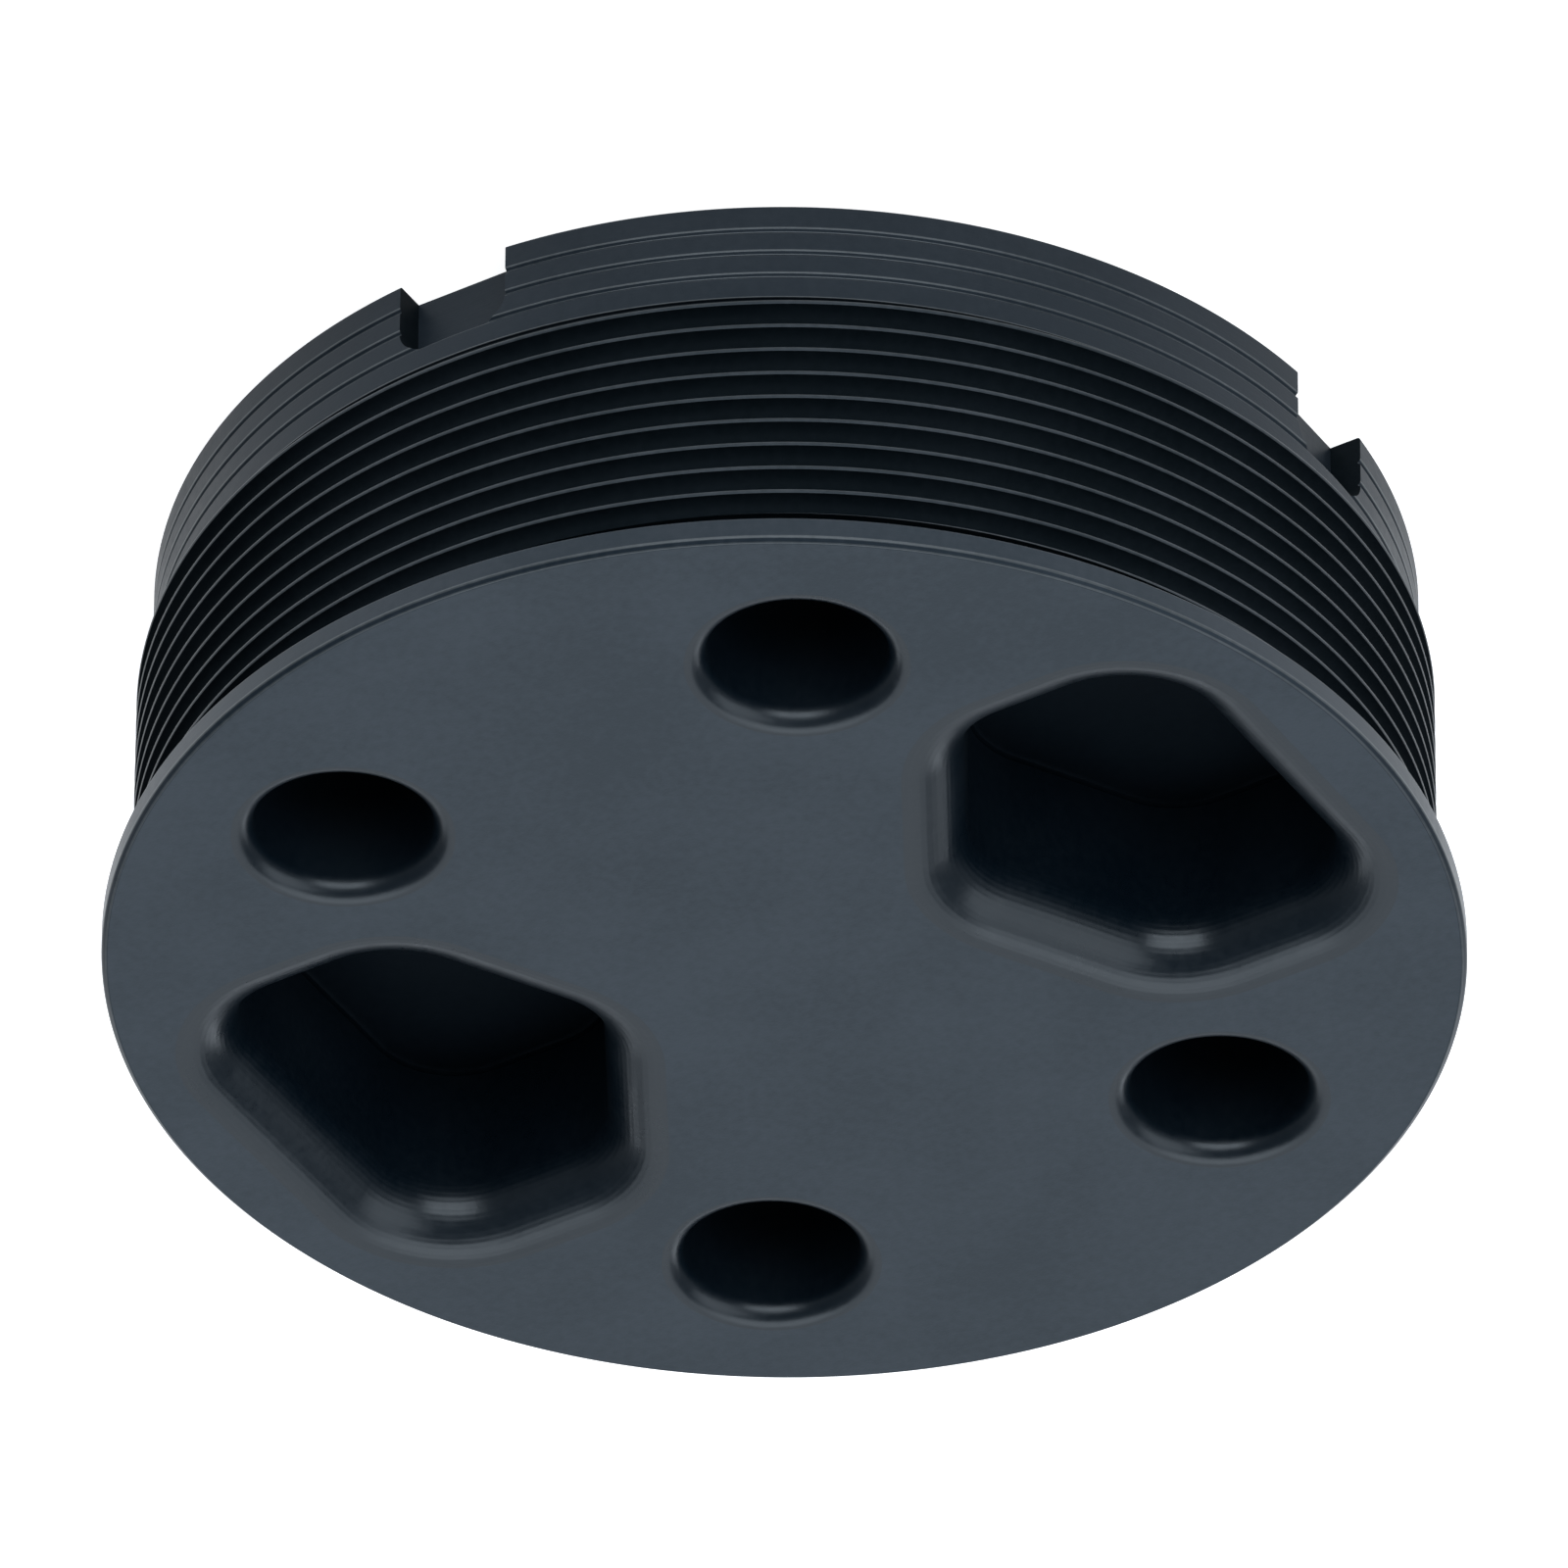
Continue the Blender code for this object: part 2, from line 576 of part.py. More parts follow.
def make_pawl(name, turn, surface, parent):
    pawl = prism(name, turned(pawl_outline(), turn), PAWL_Z, PAWL_Z + PAWL_THICKNESS, surface)
    pivot = pawl_pivot(turn)
    hole = PAWL_PIN_RADIUS + BEARING_GAP
    low, high = PAWL_Z - OVERSHOOT, PAWL_Z + PAWL_THICKNESS + OVERSHOOT
    combine(pawl, cylinder("pawl_hole", hole, low, high, pivot, AROUND_SMALL))
    set_on_axis(pawl, *pivot, parent)
    return pawl


def make_pawl_pin(name, turn, surface):
    low = STEM_BOTTOM + SEAT_GAP
    return cylinder(name, PAWL_PIN_RADIUS, low, SHOULDER_Z, pawl_pivot(turn), AROUND_SMALL, surface)


def make_pawl_spring(name, turn, surface):
    """A bowed leaf: its ends rest on the slot's inner wall, and its middle pushes the pawl out."""
    (heel_x, heel_y), (tip_x, tip_y) = slot_wall()
    length = math.dist(*slot_wall())
    out_x, out_y = (heel_y - tip_y) / length, (tip_x - heel_x) / length

    def leaf(side):
        points = []
        for i in range(SPRING_STEPS + 1):
            share = i / SPRING_STEPS
            along = SPRING_START + SPRING_SPAN * share
            off = SEAT_GAP + SPRING_THICKNESS / 2 * (1 + side) + SPRING_BOW * math.sin(math.pi * share)
            x = heel_x + (tip_x - heel_x) * along + out_x * off
            points.append((x, heel_y + (tip_y - heel_y) * along + out_y * off))
        return points

    low = PAWL_Z + (PAWL_THICKNESS - SPRING_HEIGHT) / 2
    return prism(name, turned(leaf(1) + leaf(-1)[::-1], turn), low, low + SPRING_HEIGHT, surface)


def main():
    clear_scene()
    anodised = material("black_anodised", (0.045, 0.052, 0.062), 0.42, 0.6)
    steel = material("stainless_steel", (0.56, 0.56, 0.55), 0.3, 1.0)
    acetal = material("black_acetal", (0.02, 0.02, 0.022), 0.5, 0.0)
    bronze = material("pawl_bronze", (0.62, 0.43, 0.2), 0.38, 1.0)
    spring = material("spring_steel", (0.45, 0.44, 0.42), 0.35, 1.0)

    make_core(anodised)
    make_base_plate(anodised)
    for number, place in enumerate(screw_places(), 1):
        make_base_screw(number, place, steel)

    drum_axis = empty("drum_axis")
    make_drum(anodised).parent = drum_axis
    cage_axis = empty("cage_axis")
    make_cage(acetal).parent = cage_axis
    for number in range(1, ROLLER_COUNT + 1):
        make_roller(number, steel).parent = cage_axis

    make_sleeve(acetal)
    inner = NECK_RADIUS + SEAT_GAP
    outer = STEM_RADIUS + BEARING_GAP
    ring("upper_thrust_washer", inner, outer, UPPER_WASHER_Z, UPPER_WASHER_Z + WASHER_THICKNESS, acetal)
    outer = WASHER_RECESS_RADIUS - SEAT_GAP
    ring("lower_thrust_washer", inner, outer, LOWER_WASHER_Z, LOWER_WASHER_Z + WASHER_THICKNESS, acetal)

    pawls = empty("pawls")
    for side, turn in (("a", 0), ("b", math.pi)):
        make_pawl(f"pawl_{side}", turn, bronze, pawls)
        make_pawl_pin(f"pawl_pin_{side}", turn, steel)
        make_pawl_spring(f"pawl_spring_{side}", turn, spring)


main()
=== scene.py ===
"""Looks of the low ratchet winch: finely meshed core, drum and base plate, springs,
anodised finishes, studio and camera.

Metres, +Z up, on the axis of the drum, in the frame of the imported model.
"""

import math

import bmesh
import bpy
from mathutils import Matrix, Vector


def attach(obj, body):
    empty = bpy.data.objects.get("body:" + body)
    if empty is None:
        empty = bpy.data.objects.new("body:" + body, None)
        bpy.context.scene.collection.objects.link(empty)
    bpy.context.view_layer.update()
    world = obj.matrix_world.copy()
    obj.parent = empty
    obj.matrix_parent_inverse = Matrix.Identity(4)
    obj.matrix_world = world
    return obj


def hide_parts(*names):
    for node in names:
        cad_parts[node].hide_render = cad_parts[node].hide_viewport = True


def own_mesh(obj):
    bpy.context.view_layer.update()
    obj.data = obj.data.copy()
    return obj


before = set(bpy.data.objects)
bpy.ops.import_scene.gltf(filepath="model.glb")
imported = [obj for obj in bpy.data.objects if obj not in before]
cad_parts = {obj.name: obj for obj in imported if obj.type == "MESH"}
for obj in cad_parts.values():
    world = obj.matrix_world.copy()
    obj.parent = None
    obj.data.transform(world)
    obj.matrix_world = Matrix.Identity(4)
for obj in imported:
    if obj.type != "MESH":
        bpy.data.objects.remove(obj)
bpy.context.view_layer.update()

MM = 0.001

# The object's dimensions, as in the CAD
FACE_Z = 33.8 * MM
BAND_HEIGHT = 8.6 * MM
FLANGE_THICKNESS = 2.3 * MM
FLANGE_RADIUS = 50.0 * MM
BAND_RADIUS = 46.8 * MM
CREST_RADIUS = 47.9 * MM
SEAT_GAP = 0.3 * MM
BASE_TO_DRUM_GAP = 0.4 * MM
FLANGE_TO_DRUM_GAP = 0.3 * MM
BEARING_GAP = 0.2 * MM
ROLLER_GAP = 0.1 * MM
GROOVE_PITCH = 2.2 * MM
GROOVE_DEPTH = 0.95 * MM
CREST_WIDTH = 0.32 * MM
RELIEF_HEIGHT = 1.6 * MM
CREST_START = math.radians(238.4)
CREST_RISE = 0.92 * MM
CREST_WEAR = 0.06 * MM  # how far a crest's edges are rubbed down
RIM_BEVEL = 0.15 * MM
LINE_DEPTH = 0.25 * MM
LINE_WIDTH = 0.5 * MM
LINE_HEIGHTS = [(2.35 + 2.1 * i) * MM for i in range(3)]
NOTCH_WIDTH = 9.0 * MM
NOTCH_HEIGHT = 6.6 * MM
NOTCH_DEPTH = 2.75 * MM
NOTCH_CORNER = 2.1 * MM
NOTCH_COUNT = 4
EDGE_CHAMFER = 0.35 * MM
STEM_WALL = 2.63 * MM
NECK_RADIUS = 40.8 * MM
POCKET_DEPTH = 15.0 * MM
POCKET_HALF_WIDTH = 15.15 * MM
POCKET_OUTER = 40.7 * MM
POCKET_INNER = 13.6 * MM
POCKET_SLANT = math.radians(60)
POCKET_CORNER = 6.55 * MM
POCKET_MOUTH_RADIUS = 4.6 * MM
POCKET_FOOT = 0.5 * MM  # the cutter's corner radius, left round the floor
FLOOR_WEB = 1.2 * MM
BOLT_CIRCLE_RADIUS = 35.6 * MM
BOLT_HALF_SPREAD = math.radians(32.9)
HEAD_BORE_RADIUS = 6.6 * MM
HEAD_BORE_DEPTH = 15.0 * MM
BOLT_HOLE_RADIUS = 4.25 * MM
BORE_MOUTH_RADIUS = 1.6 * MM
WASHER_THICKNESS = 0.5 * MM
SLEEVE_THICKNESS = 0.5 * MM
ROLLER_RADIUS = 1.5 * MM
TOOTH_COUNT = 36
TOOTH_DEPTH = 1.7 * MM
TOOTH_HEIGHT = 3.0 * MM
TOOTH_TIP_RADIUS = 42.6 * MM
PAWL_PIVOT_RADIUS = 38.2 * MM
PAWL_PIVOT_ANGLE = math.radians(24)
PAWL_THICKNESS = 2.7 * MM
PAWL_HEEL_RADIUS = 2.3 * MM
PAWL_TIP_ANGLE = math.radians(2.4)
PAWL_TRAVEL = math.radians(8)
PAWL_PIN_RADIUS = 1.2 * MM
SPRING_ROOM = 0.9 * MM
PAWL_WIDTH = 2.9 * MM
PAWL_GAP = 0.4 * MM
SLOT_HEEL_START = 0.6
SLOT_EDGE = 0.04
SLOT_TIP = -0.4  # end of the slot's inner wall, in pawl tip angles
SCREW_CIRCLE_RADIUS = 22.0 * MM
SCREW_COUNT = 4
SCREW_RADIUS = 2.2 * MM
SCREW_HEAD_RADIUS = 4.6 * MM
SCREW_LENGTH = 14.0 * MM
SCREW_SUNK = 0.2 * MM

FLANGE_UNDER = FACE_Z - FLANGE_THICKNESS
STEM_BOTTOM = BAND_HEIGHT + SEAT_GAP
DRUM_BOTTOM = BAND_HEIGHT + BASE_TO_DRUM_GAP
DRUM_TOP = FLANGE_UNDER - FLANGE_TO_DRUM_GAP
ROOT_RADIUS = CREST_RADIUS - GROOVE_DEPTH
POCKET_FLOOR = FACE_Z - POCKET_DEPTH
SHOULDER_Z = POCKET_FLOOR - FLOOR_WEB
POCKET_REACH = POCKET_CORNER + math.hypot(
    POCKET_OUTER - POCKET_CORNER, POCKET_HALF_WIDTH - POCKET_CORNER
)
STEM_RADIUS = POCKET_REACH + STEM_WALL
BORE_RADIUS = STEM_RADIUS + 2 * BEARING_GAP + SLEEVE_THICKNESS
RACE_RADIUS = NECK_RADIUS + 2 * (ROLLER_RADIUS + ROLLER_GAP)
TOOTH_TOP = SHOULDER_Z - 2 * SEAT_GAP - WASHER_THICKNESS
TOOTH_BOTTOM = TOOTH_TOP - TOOTH_HEIGHT
TOOTH_ROOT_RADIUS = TOOTH_TIP_RADIUS + TOOTH_DEPTH
PAWL_TIP_RADIUS = TOOTH_ROOT_RADIUS - PAWL_GAP
PAWL_Z = (TOOTH_TOP + TOOTH_BOTTOM - PAWL_THICKNESS) / 2
CAGE_Z = BAND_HEIGHT + 2 * SEAT_GAP + WASHER_THICKNESS
DRUM_SKIRT = 1.1 * MM
WASHER_RECESS_RADIUS = ROOT_RADIUS - DRUM_SKIRT

# Fineness of the visual meshes
AROUND = 360
AROUND_BORE = 96
AROUND_SMALL = 32
CORNER_STEPS = 20
MOUTH_PASSES = 16  # passes of the ball cutter round a pocket's mouth
PASS_STEPS = 4
PASS_DEPTH = 0.008 * MM  # hollow left by one pass
BORE_MOUTH_STEPS = 8
GROOVE_ROWS = 12  # across one groove
GROOVE_SWELL = 0.72  # below 1 the groove's flanks stand steeper than a parabola's
OVERSHOOT = 1.0 * MM
MERGE = 0.001 * MM
SHARP = math.radians(28)
DRUM_SHARP = math.radians(40)
NORMAL_WEIGHT = 90  # how strongly the large faces set the normals
EDGE_EASE = 0.08 * MM
EASE_STEPS = 2
FACE_EDGE_EASE = 0.12 * MM
FACE_EDGE_STEPS = 4
MOST_EASED = 0.45  # share of a side that a rounded corner may take up

# Camera: where it stands, how long its lens is, and where the face's centre comes in the frame
CAMERA_AZIMUTH = math.radians(238.4)
CAMERA_ELEVATION = math.radians(37.95)
CAMERA_DISTANCE = 1.8255
CAMERA_ROLL = 0.0057  # past half a turn, in radians: the object is seen upside down
SENSOR = 36.0
LENS = 572.6
FACE_BELOW_CENTRE = 0.1182  # shares of the frame
FACE_RIGHT_OF_CENTRE = 0.00015

# Finishes: the size of the slow and the fine mottling, and how much each counts
CLOUD_SIZE, CLOUD_SHARE = 14 * MM, 0.6
GRAIN_SIZE, GRAIN_SHARE = 0.7 * MM, 0.4
COLOUR_RANGE = (0.38, 0.62)  # of the mottling, from one colour to the other
ROUGHNESS_RANGE = (0.35, 0.65)
HEIGHT_WEIGHT = 1.37  # not 1, or turning marks would vanish on a 45 degree chamfer
COOL_GLOSS = (0.86, 1.0, 1.12)
GREY_GLOSS = (0.95, 1.0, 1.02)

# Studio
COOL_LIGHT = (0.92, 1.0, 1.09)
FLOOR_RADIUS = 30.0
FLOOR_GLOW = 0.88
LIGHT_DISTANCE = 1.4


# ---------------------------------------------------------------- node materials


def add_node(tree, kind, inputs=None, **settings):
    made = tree.nodes.new(kind)
    for name, value in settings.items():
        setattr(made, name, value)
    for key, value in (inputs or {}).items():
        if isinstance(value, bpy.types.NodeSocket):
            tree.links.new(value, made.inputs[key])
        else:
            made.inputs[key].default_value = value
    return made


def calc(tree, operation, first, second=0.0):
    return add_node(tree, "ShaderNodeMath", {0: first, 1: second}, operation=operation).outputs[0]


def position(tree):
    """x, y, z and the distance from the axis, as sockets."""
    place = add_node(tree, "ShaderNodeTexCoord").outputs["Object"]
    split = add_node(tree, "ShaderNodeSeparateXYZ", {0: place}).outputs
    x_square, y_square = calc(tree, "POWER", split[0], 2.0), calc(tree, "POWER", split[1], 2.0)
    squares = calc(tree, "ADD", x_square, y_square)
    return split[0], split[1], split[2], calc(tree, "SQRT", squares)


def noise(tree, vector, detail=2.0):
    inputs = {"Vector": vector, "Scale": 1.0, "Detail": detail, "Roughness": 0.5}
    return add_node(tree, "ShaderNodeTexNoise", inputs).outputs["Fac"]


def scaled(tree, x, y, z, sizes):
    """A vector whose parts go through one cell of noise in sizes (metres)."""
    pairs = zip((x, y, z), sizes)
    parts = {i: calc(tree, "DIVIDE", part, size) for i, (part, size) in enumerate(pairs)}
    return add_node(tree, "ShaderNodeCombineXYZ", parts).outputs[0]


def blasted(tree, place, size):
    """Even grain, the same in every direction."""
    x, y, z, _ = place
    return noise(tree, scaled(tree, x, y, z, (size, size, size)))


def turned(tree, place, size, length):
    """Marks that run round the axis: they change with radius and height, and slowly along."""
    x, y, z, radius = place
    across = calc(tree, "ADD", radius, calc(tree, "MULTIPLY", z, HEIGHT_WEIGHT))
    return noise(tree, scaled(tree, x, y, across, (length, length, size)), detail=3.0)


def layered(tree, place, size, length):
    """Level lines up a wall."""
    x, y, z, _ = place
    return noise(tree, scaled(tree, x, y, z, (length, length, size)), detail=2.0)


def fluted(tree, place, size, length):
    """Upright lines along a wall."""
    x, y, z, _ = place
    return noise(tree, scaled(tree, x, y, z, (size, size, length)), detail=2.0)


def spread(tree, value, low, high, usual):
    """value, whose usual range is given, put on low to high."""
    inputs = {"Value": value, 1: usual[0], 2: usual[1], 3: low, 4: high}  # from, then to
    return add_node(tree, "ShaderNodeMapRange", inputs).outputs[0]


def finish(
    name,
    colour,
    other,
    roughness,
    marks,
    metallic=0.0,
    specular=0.5,
    bevel=None,
    tint_of_gloss=(1, 1, 1),
):
    """A node material. colour and other are mixed by mottling. roughness is (low, high).
    marks are (kind, size, length, depth): noises that are added up as bump, in metres."""
    made = bpy.data.materials.new(name)
    made.use_nodes = True
    tree = made.node_tree
    shader = tree.nodes["Principled BSDF"]
    place = position(tree)
    cloud = calc(tree, "MULTIPLY", blasted(tree, place, CLOUD_SIZE), CLOUD_SHARE)
    grain = calc(tree, "MULTIPLY", blasted(tree, place, GRAIN_SIZE), GRAIN_SHARE)
    both = calc(tree, "ADD", cloud, grain)
    mix = spread(tree, both, 0.0, 1.0, COLOUR_RANGE)
    colours = {0: mix, 6: (*colour, 1), 7: (*other, 1)}  # 6 and 7 are the colour sockets
    tint = add_node(tree, "ShaderNodeMix", colours, data_type="RGBA")
    tree.links.new(tint.outputs[2], shader.inputs["Base Color"])
    tree.links.new(spread(tree, both, *roughness, ROUGHNESS_RANGE), shader.inputs["Roughness"])
    shader.inputs["Metallic"].default_value = metallic
    shader.inputs["Specular IOR Level"].default_value = specular
    shader.inputs["Specular Tint"].default_value = (*tint_of_gloss, 1)
    normal = None
    if bevel:
        normal = add_node(tree, "ShaderNodeBevel", {"Radius": bevel}, samples=4).outputs[0]
    for kind, size, length, depth in marks:
        height = kind(tree, place, size, length) if length else kind(tree, place, size)
        inputs = {"Strength": 1.0, "Distance": depth, "Height": height}
        if normal:
            inputs["Normal"] = normal
        normal = add_node(tree, "ShaderNodeBump", inputs).outputs[0]
    if normal:
        tree.links.new(normal, shader.inputs["Normal"])
    return made


face_finish = finish(
    "anodised_face",
    (0.0080, 0.0135, 0.0185),
    (0.0210, 0.0280, 0.0355),
    (0.33, 0.42),
    [(blasted, 0.22 * MM, None, 0.010 * MM), (turned, 0.30 * MM, 9 * MM, 0.003 * MM)],
    specular=0.42,
    tint_of_gloss=COOL_GLOSS,
)
rim_finish = finish(
    "anodised_rim",
    (0.0090, 0.0145, 0.0200),
    (0.0160, 0.0215, 0.0280),
    (0.33, 0.42),
    [(turned, 0.20 * MM, 8 * MM, 0.005 * MM)],
    specular=0.20,
    tint_of_gloss=COOL_GLOSS,
)
# Pocket and bore walls: the face's anodising made darker, as painted shade inside the recesses
pocket_shade_finish = finish(
    "pocket_painted_shade",
    (0.0022, 0.0062, 0.0105),
    (0.0048, 0.0092, 0.0140),
    (0.27, 0.36),
    [(layered, 0.30 * MM, 9 * MM, 0.008 * MM), (fluted, 0.6 * MM, 6 * MM, 0.010 * MM)],
    specular=0.5,
    tint_of_gloss=GREY_GLOSS,
)
# Pocket floor: darker still, as painted shade at the bottom of the pockets
pocket_floor_shade_finish = finish(
    "pocket_floor_painted_shade",
    (0.0012, 0.0034, 0.0058),
    (0.0028, 0.0056, 0.0084),
    (0.50, 0.60),
    [(blasted, 0.5 * MM, None, 0.010 * MM)],
    specular=0.06,
    tint_of_gloss=COOL_GLOSS,
)
band_finish = finish(
    "anodised_band",
    (0.0070, 0.0112, 0.0160),
    (0.0115, 0.0162, 0.0215),
    (0.40, 0.50),
    [(turned, 0.20 * MM, 8 * MM, 0.006 * MM), (blasted, 0.25 * MM, None, 0.006 * MM)],
    specular=0.14,
    bevel=0.04 * MM,
    tint_of_gloss=COOL_GLOSS,
)
# Groove and notch walls: darker than the band, as painted shade in the hollows
groove_shade_finish = finish(
    "groove_painted_shade",
    (0.0028, 0.0048, 0.0063),
    (0.0046, 0.0070, 0.0090),
    (0.55, 0.65),
    [(turned, 0.16 * MM, 5 * MM, 0.008 * MM), (blasted, 0.2 * MM, None, 0.008 * MM)],
    specular=0.02,
    tint_of_gloss=COOL_GLOSS,
)
# Crests: lighter than the grooves, as a painted highlight along each crest line
crest_highlight_finish = finish(
    "crest_painted_highlight",
    (0.012, 0.016, 0.019),
    (0.028, 0.033, 0.038),
    (0.34, 0.44),
    [(turned, 0.10 * MM, 3 * MM, 0.004 * MM)],
    specular=0.20,
    tint_of_gloss=COOL_GLOSS,
)
# Rounded edges that look up: lighter and glossier, as a painted highlight along the edge
edge_highlight_finish = finish(
    "edge_painted_highlight",
    (0.026, 0.032, 0.036),
    (0.048, 0.056, 0.062),
    (0.28, 0.38),
    [(turned, 0.10 * MM, 3 * MM, 0.003 * MM)],
    specular=0.45,
    tint_of_gloss=GREY_GLOSS,
)
inner_finish = finish(
    "anodised_inside",
    (0.012, 0.015, 0.018),
    (0.018, 0.022, 0.026),
    (0.34, 0.44),
    [(turned, 0.2 * MM, 8 * MM, 0.005 * MM)],
    specular=0.35,
)
steel_finish = finish(
    "ground_steel",
    (0.54, 0.54, 0.53),
    (0.62, 0.62, 0.61),
    (0.22, 0.32),
    [(turned, 0.08 * MM, 2 * MM, 0.002 * MM)],
    metallic=1.0,
)
spring_finish = finish(
    "spring_steel",
    (0.36, 0.34, 0.31),
    (0.46, 0.44, 0.41),
    (0.28, 0.40),
    [(blasted, 0.3 * MM, None, 0.003 * MM)],
    metallic=1.0,
)
bronze_finish = finish(
    "pawl_bronze",
    (0.46, 0.30, 0.13),
    (0.58, 0.40, 0.19),
    (0.30, 0.44),
    [(blasted, 0.35 * MM, None, 0.008 * MM)],
    metallic=1.0,
)
acetal_finish = finish(
    "black_acetal",
    (0.016, 0.016, 0.017),
    (0.024, 0.024, 0.026),
    (0.42, 0.55),
    [(blasted, 0.5 * MM, None, 0.006 * MM)],
)


# ---------------------------------------------------------------- mesh making


def polar(radius, angle):
    return (radius * math.cos(angle), radius * math.sin(angle))


def arc(centre, radius, start, end, steps):
    """Points on an arc from start to end, both included."""
    points = []
    for i in range(steps + 1):
        x, y = polar(radius, start + (end - start) * i / steps)
        points.append((centre[0] + x, centre[1] + y))
    return points


def turned_points(points, turn):
    c, s = math.cos(turn), math.sin(turn)
    return [(c * x - s * y, s * x + c * y) for x, y in points]


def add_object(name, bm, *surfaces):
    bmesh.ops.recalc_face_normals(bm, faces=bm.faces)
    mesh = bpy.data.meshes.new(name)
    bm.to_mesh(mesh)
    bm.free()
    for surface in surfaces:
        mesh.materials.append(surface)
    made = bpy.data.objects.new(name, mesh)
    bpy.context.scene.collection.objects.link(made)
    return made


def lofted(name, loops, surface, capped=True):
    """A closed solid through loops of (x, y, z) with equal point counts.
    Its ends are capped, or joined to each other."""
    bm = bmesh.new()
    rows = [[bm.verts.new(point) for point in loop] for loop in loops]
    if capped:
        bm.faces.new(rows[0])
        bm.faces.new(rows[-1])
    for low, high in zip(rows, rows[1:] if capped else rows[1:] + rows[:1]):
        for i in range(len(low)):
            j = (i + 1) % len(low)
            bm.faces.new((low[i], low[j], high[j], high[i]))
    return add_object(name, bm, surface)


def prism(name, outline, low, high, surface):
    return lofted(name, [[(x, y, z) for x, y in outline] for z in (low, high)], surface)


def revolved(name, profile, around, surface, centre=(0, 0)):
    """A solid of revolution about an upright axis, from a (radius, z) profile.
    It is a ring if the profile stays off the axis."""
    angles = [math.tau * i / around for i in range(around)]
    loops = [
        [(centre[0] + radius * math.cos(a), centre[1] + radius * math.sin(a), z) for a in angles]
        for radius, z in profile
        if radius
    ]
    return lofted(name, loops, surface, capped=len(loops) < len(profile))


def eased(profile, face_points=0):
    """The profile with each corner off the axis rounded. The last face_points are at the face's
    edge, which is rounded further and finer."""
    points = []
    for i, corner in enumerate(profile):
        at_face = i >= len(profile) - face_points
        reach, steps = (FACE_EDGE_EASE, FACE_EDGE_STEPS) if at_face else (EDGE_EASE, EASE_STEPS)
        if not corner[0]:
            points.append(corner)
            continue
        here = Vector(corner)
        before, after = Vector(profile[i - 1]), Vector(profile[(i + 1) % len(profile)])
        back, on = before - here, after - here
        first = here + back.normalized() * min(reach, back.length * MOST_EASED)
        last = here + on.normalized() * min(reach, on.length * MOST_EASED)
        for step in range(steps + 1):
            t = step / steps
            points.append(tuple(first * (1 - t) ** 2 + here * 2 * t * (1 - t) + last * t * t))
    return points


def cylinder(radius, low, high, centre, around, surface):
    profile = [(0, low), (radius, low), (radius, high), (0, high)]
    return revolved("cutter", profile, around, surface, centre)


def cut(target, *cutters):
    """Cuts each cutter out of target. The new faces keep the cutter's material."""
    for cutter in cutters:
        step = target.modifiers.new("cut", "BOOLEAN")
        step.operation = "DIFFERENCE"
        step.solver = "EXACT"
        step.material_mode = "TRANSFER"
        step.object = cutter
    bpy.context.view_layer.update()
    evaluated = target.evaluated_get(bpy.context.evaluated_depsgraph_get())
    mesh = bpy.data.meshes.new_from_object(evaluated)
    target.modifiers.clear()
    target.data = mesh
    for cutter in cutters:
        bpy.data.objects.remove(cutter, do_unlink=True)


def smooth(piece, angle=SHARP):
    """Smooth shading with sharp edges kept, and normals that follow the large faces."""
    mesh = piece.data
    mesh.polygons.foreach_set("use_smooth", [True] * len(mesh.polygons))
    mesh.set_sharp_from_angle(angle=angle)
    weighted = piece.modifiers.new("weighted", "WEIGHTED_NORMAL")
    weighted.keep_sharp = True
    weighted.weight = NORMAL_WEIGHT
    return piece


def edge_index(face, edge, plain):
    """Which material a face of a turned outside gets: a painted highlight on a rounded edge that
    looks up, or plain. Walls, 45 degree chamfers and level faces are plain."""
    rise = face.normal.z
    under_chamfer, over_chamfer = 0.08 < rise < 0.66, 0.75 < rise < 0.995
    return edge if under_chamfer or over_chamfer else plain


def place_piece(piece, body, slot, *nodes):
    """Sets the body that the piece moves with and hides the CAD nodes it stands for. slot is not
    used.
    """
    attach(piece, body)
    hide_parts(*nodes)


# ---------------------------------------------------------------- core


def bolt_places():
    angles = []
    for middle in (math.pi / 2, 3 * math.pi / 2):
        angles += [middle - BOLT_HALF_SPREAD, middle + BOLT_HALF_SPREAD]
    return [polar(BOLT_CIRCLE_RADIUS, angle) for angle in angles]


def screw_places():
    return [polar(SCREW_CIRCLE_RADIUS, math.tau * i / SCREW_COUNT) for i in range(SCREW_COUNT)]


def pocket_outline(grown, turn):
    """The pocket's five-sided outline, offset outwards by grown, on +X and turned by turn."""
    radius = POCKET_CORNER
    side_y = POCKET_HALF_WIDTH - radius
    outer_x = POCKET_OUTER - radius
    reach = POCKET_INNER + radius
    inner_x = (reach + side_y * math.cos(POCKET_SLANT)) / math.sin(POCKET_SLANT)
    tip_x = reach / math.sin(POCKET_SLANT)
    slant = math.pi / 2 + (math.pi / 2 - POCKET_SLANT) * 2
    corners = [
        ((outer_x, -side_y), -math.pi / 2, 0),
        ((outer_x, side_y), 0, math.pi / 2),
        ((inner_x, side_y), math.pi / 2, slant),
        ((tip_x, 0), slant, math.tau - slant),
        ((inner_x, -side_y), -slant, -math.pi / 2),
    ]
    points = []
    for centre, start, end in corners:
        points += arc(centre, radius + grown, start, end, CORNER_STEPS)
    return turned_points(points, turn)


def mouth_levels(radius, count):
    """(z, how far the wall stands back) up a rounded mouth that ends flush with the face."""
    steps = [math.pi / 2 * i / count for i in range(count + 1)]
    low = FACE_Z - radius
    levels = [(low + radius * math.sin(a), radius - radius * math.cos(a)) for a in steps]
    return levels + [(FACE_Z + OVERSHOOT, radius)]


